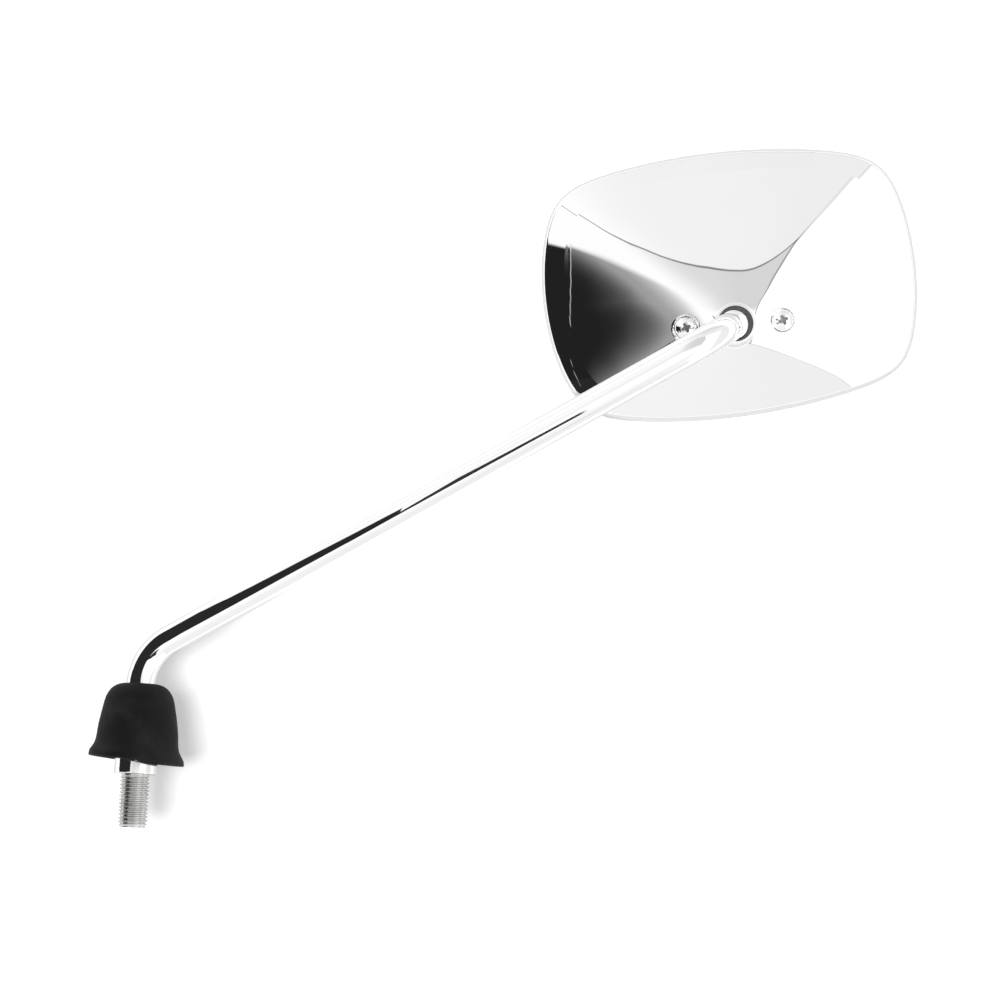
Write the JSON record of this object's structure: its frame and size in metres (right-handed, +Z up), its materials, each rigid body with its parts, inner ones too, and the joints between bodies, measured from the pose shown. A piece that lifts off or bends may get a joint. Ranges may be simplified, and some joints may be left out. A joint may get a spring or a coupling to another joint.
{
  "type": "motorcycle mirror",
  "caption": "Handlebar mirror for a scooter or motorcycle: chrome four-sided head on a ball joint, bent rod stem, rubber boot and threaded stud.",
  "frame": {"origin": "on the stud's axis, in the flat lower face of the collar that sits on the mount", "axes": "+Z up the stud's axis, +X outboard towards the head, -Y forward, away from the rider; the glass looks towards +Y and slightly up"},
  "size_m": [0.2768, 0.0665, 0.2438],
  "materials": {
    "chrome_steel": "polished chrome plate",
    "zinc_steel": "bright zinc plate",
    "boot_rubber": "matt moulded rubber",
    "seal_rubber": "smooth black rubber",
    "ring_plastic": "black nylon",
    "liner_plastic": "natural nylon",
    "foam": "closed-cell foam",
    "mirror_face": "silvered convex glass"
  },
  "bodies": {
    "base": {"stud_adapter": "zinc_steel"},
    "arm": {"stem": "chrome_steel", "lock_nut": "zinc_steel", "boot": "boot_rubber", "pivot_ball": "chrome_steel"},
    "ring": {"seat_ring": "ring_plastic"},
    "liner": {"ball_liner": "liner_plastic"},
    "head": {"shell": "chrome_steel", "clamp_plate": "zinc_steel", "clamp_screw_left": "chrome_steel", "clamp_screw_right": "chrome_steel", "glass_gasket": "seal_rubber", "backing_pad": "foam", "mirror_glass": "mirror_face"}
  },
  "joints": [
    {"name": "stem_swivel", "type": "hinge", "parent": "base", "child": "arm", "pos_m": [0, 0, 0.0145], "axis": [0, 0, 1], "range_deg": [-30, 30]},
    {"name": "head_tip", "type": "hinge", "parent": "arm", "child": "ring", "pos_m": [0.19618, -0.02013, 0.1599], "axis": [0.9923, -0.0159, 0.1226], "range_deg": [-6, 12]},
    {"name": "head_turn", "type": "hinge", "parent": "ring", "child": "liner", "pos_m": [0.19618, -0.02013, 0.1599], "axis": [-0.1236, -0.1278, 0.9841], "range_deg": [-12, 6]},
    {"name": "head_roll", "type": "hinge", "parent": "liner", "child": "head", "pos_m": [0.19618, -0.02013, 0.1599], "axis": [0, -0.9917, -0.1288], "range_deg": [-15, 15]}
  ]
}
